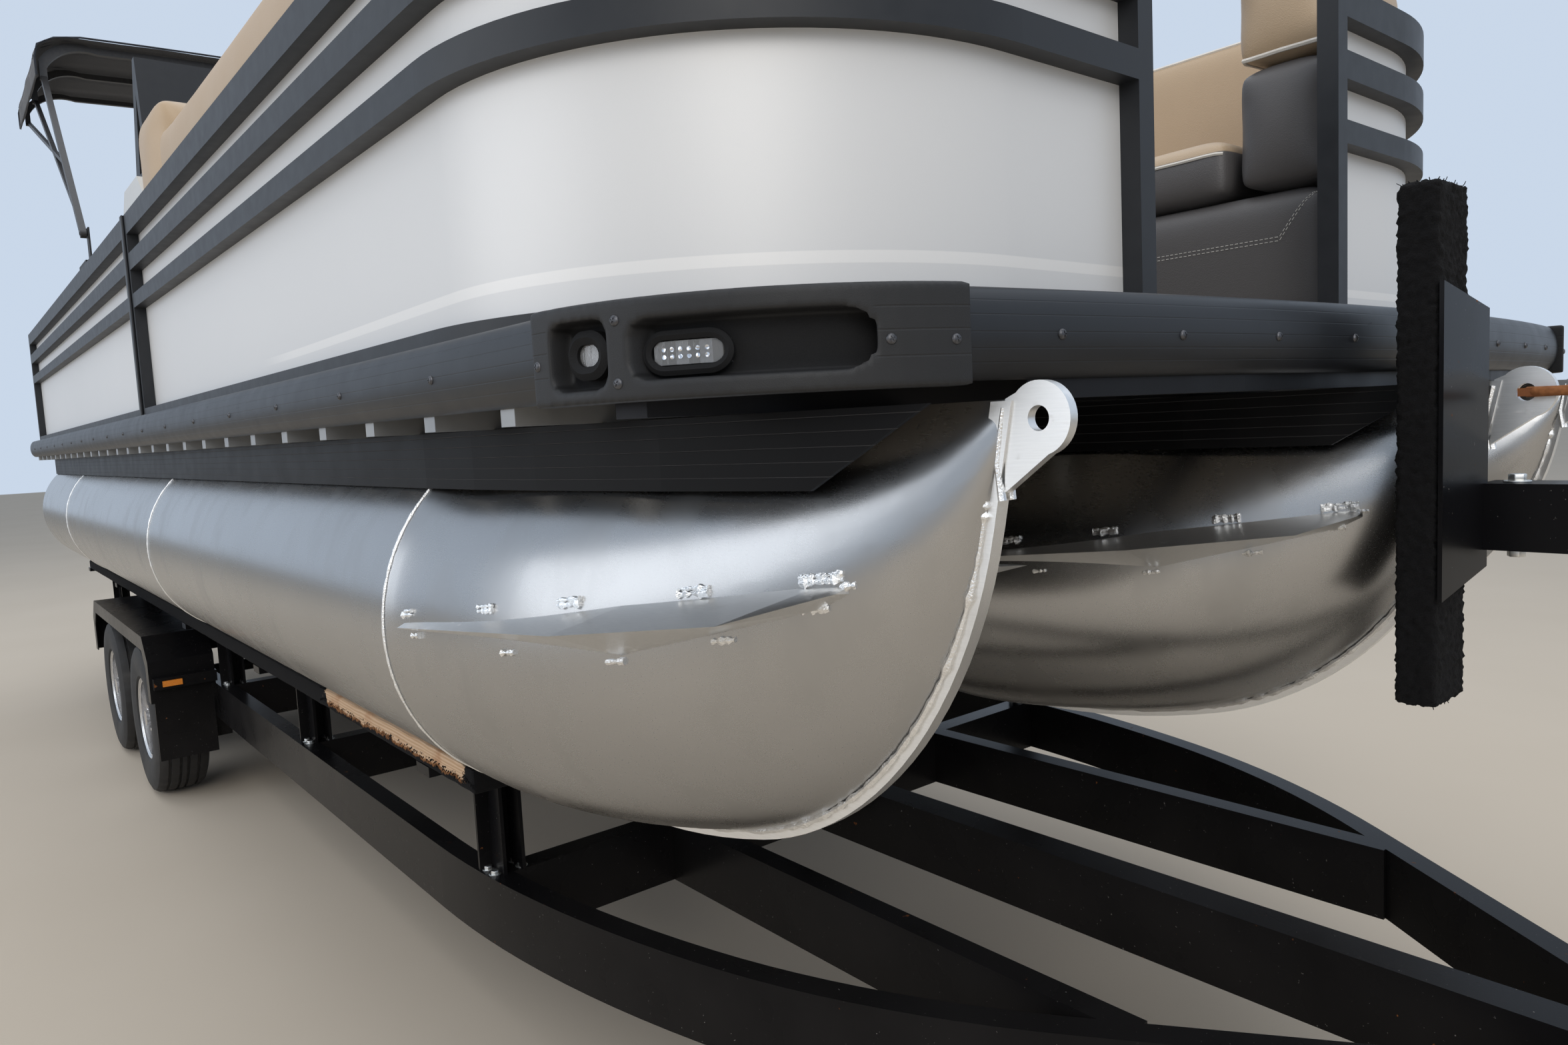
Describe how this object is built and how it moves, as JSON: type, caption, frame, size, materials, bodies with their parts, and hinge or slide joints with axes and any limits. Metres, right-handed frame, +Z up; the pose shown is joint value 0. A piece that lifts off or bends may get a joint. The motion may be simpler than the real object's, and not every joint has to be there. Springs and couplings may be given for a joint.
{
  "type": "pontoon boat on trailer",
  "caption": "Fenced pontoon boat on aluminium tubes with lounges, helm, canopy and outboard motor, standing on a tandem-axle trailer with bunks and a winch stand.",
  "frame": {"origin": "on the ground under the middle of the whole length, on the centreline", "axes": "+X to the bow and the coupler, +Y to port, +Z up"},
  "size_m": [10.13, 2.6118, 3.4598],
  "materials": {
    "aluminium": "brushed",
    "black_metal": "satin",
    "white_panel": "gloss",
    "black_plastic": "textured",
    "clear_lens": "clear",
    "deck_floor": "covered with woven vinyl",
    "cream_base": "satin",
    "tan_vinyl": "grained",
    "grey_vinyl": "grained",
    "canvas": "woven",
    "carpet": "pile",
    "tyre": "matte",
    "cast_rim": "bright",
    "zinc_steel": "zinc",
    "motor_paint": "gloss",
    "iron": "raw",
    "tinted_screen": "smoked",
    "strap": "woven",
    "lamp_lens": "lens"
  },
  "bodies": {
    "boat_and_trailer": {"pontoon_port": "aluminium", "pontoon_starboard": "aluminium", "pontoon_centre": "aluminium", "nose_keels": "aluminium", "lifting_strakes": "aluminium", "riser_skirts": "black_metal", "cross_members": "aluminium", "deck": "deck_floor", "rub_rail": "black_metal", "bow_corner_caps": "black_plastic", "bow_lights": "clear_lens", "bow_fence_frames": "black_metal", "bow_fence_panels": "white_panel", "aft_fence_frames": "black_metal", "aft_fence_panels": "white_panel", "stern_fence": "black_metal", "lounge_bases": "cream_base", "lounge_cushions": "grey_vinyl", "lounge_backs": "tan_vinyl", "helm_console": "cream_base", "windscreen": "tinted_screen", "chair_pedestal": "aluminium", "bimini_mounts": "black_plastic", "motor_pod": "aluminium", "motor_bracket": "motor_paint", "trailer_frame": "black_metal", "bunk_boards": "carpet", "bunk_brackets": "black_metal", "fenders": "black_metal", "axles": "black_metal", "trailer_lights": "lamp_lens", "winch_stand": "black_metal", "bow_stop": "carpet", "winch": "zinc_steel", "winch_strap": "strap", "jack_tube": "black_metal", "coupler": "black_metal"},
    "bow_gate": {"bow_gate": "black_metal"},
    "side_gate": {"side_gate": "black_metal"},
    "stern_gate": {"stern_gate": "black_metal"},
    "steering_wheel": {"steering_wheel": "black_plastic"},
    "helm_chair": {"helm_chair": "tan_vinyl"},
    "motor_swivel": {"motor_swivel": "motor_paint"},
    "motor": {"motor_midsection": "motor_paint", "motor_cowl": "motor_paint", "engine_block": "iron"},
    "propeller": {"propeller": "zinc_steel"},
    "bimini": {"bimini_bows": "black_metal", "canopy": "canvas"},
    "jack_leg": {"jack_leg": "zinc_steel"},
    "wheel_front_port": {"rim_front_port": "cast_rim", "tyre_front_port": "tyre"},
    "wheel_front_starboard": {"rim_front_starboard": "cast_rim", "tyre_front_starboard": "tyre"},
    "wheel_rear_port": {"rim_rear_port": "cast_rim", "tyre_rear_port": "tyre"},
    "wheel_rear_starboard": {"rim_rear_starboard": "cast_rim", "tyre_rear_starboard": "tyre"}
  },
  "joints": [
    {"name": "wheel_front_port_spin", "type": "hinge", "parent": "boat_and_trailer", "child": "wheel_front_port", "pos_m": [-1.385, 1.1005, 0.33], "axis": [0, 1, 0], "continuous": true},
    {"name": "wheel_front_starboard_spin", "type": "hinge", "parent": "boat_and_trailer", "child": "wheel_front_starboard", "pos_m": [-1.385, -1.1005, 0.33], "axis": [0, 1, 0], "continuous": true},
    {"name": "wheel_rear_port_spin", "type": "hinge", "parent": "boat_and_trailer", "child": "wheel_rear_port", "pos_m": [-2.275, 1.1005, 0.33], "axis": [0, 1, 0], "continuous": true},
    {"name": "wheel_rear_starboard_spin", "type": "hinge", "parent": "boat_and_trailer", "child": "wheel_rear_starboard", "pos_m": [-2.275, -1.1005, 0.33], "axis": [0, 1, 0], "continuous": true},
    {"name": "bow_gate_swing", "type": "hinge", "parent": "boat_and_trailer", "child": "bow_gate", "pos_m": [2.914, -0.324, 1.7], "axis": [0, 0, 1], "range_deg": [-90, 0]},
    {"name": "side_gate_swing", "type": "hinge", "parent": "boat_and_trailer", "child": "side_gate", "pos_m": [-0.224, 1.198, 1.7], "axis": [0, 0, 1], "range_deg": [0, 90]},
    {"name": "stern_gate_swing", "type": "hinge", "parent": "boat_and_trailer", "child": "stern_gate", "pos_m": [-3.608, -0.52, 1.7], "axis": [0, 0, 1], "range_deg": [0, 90]},
    {"name": "steering_wheel_turn", "type": "hinge", "parent": "boat_and_trailer", "child": "steering_wheel", "pos_m": [-1.05282, -0.79, 2.16494], "axis": [-0.9063, 0, 0.4226], "range_deg": [-720, 720]},
    {"name": "helm_chair_swivel", "type": "hinge", "parent": "boat_and_trailer", "child": "helm_chair", "pos_m": [-1.685, -0.78, 1.9], "axis": [0, 0, 1], "continuous": true},
    {"name": "motor_tilt", "type": "hinge", "parent": "boat_and_trailer", "child": "motor_swivel", "pos_m": [-4.425, 0, 1.62], "axis": [0, 1, 0], "range_deg": [0, 65]},
    {"name": "motor_steer", "type": "hinge", "parent": "motor_swivel", "child": "motor", "pos_m": [-4.515, 0, 1.62], "axis": [0, 0, 1], "range_deg": [-30, 30]},
    {"name": "propeller_spin", "type": "hinge", "parent": "motor", "child": "propeller", "pos_m": [-4.935, 0, 0.76], "axis": [1, 0, 0], "continuous": true},
    {"name": "bimini_swing", "type": "hinge", "parent": "boat_and_trailer", "child": "bimini", "pos_m": [-1.335, 0, 2.39], "axis": [0, 1, 0], "range_deg": [-8, 45]},
    {"name": "jack_lift", "type": "slide", "parent": "boat_and_trailer", "child": "jack_leg", "axis": [0, 0, 1], "range_m": [0, 0.25]}
  ]
}
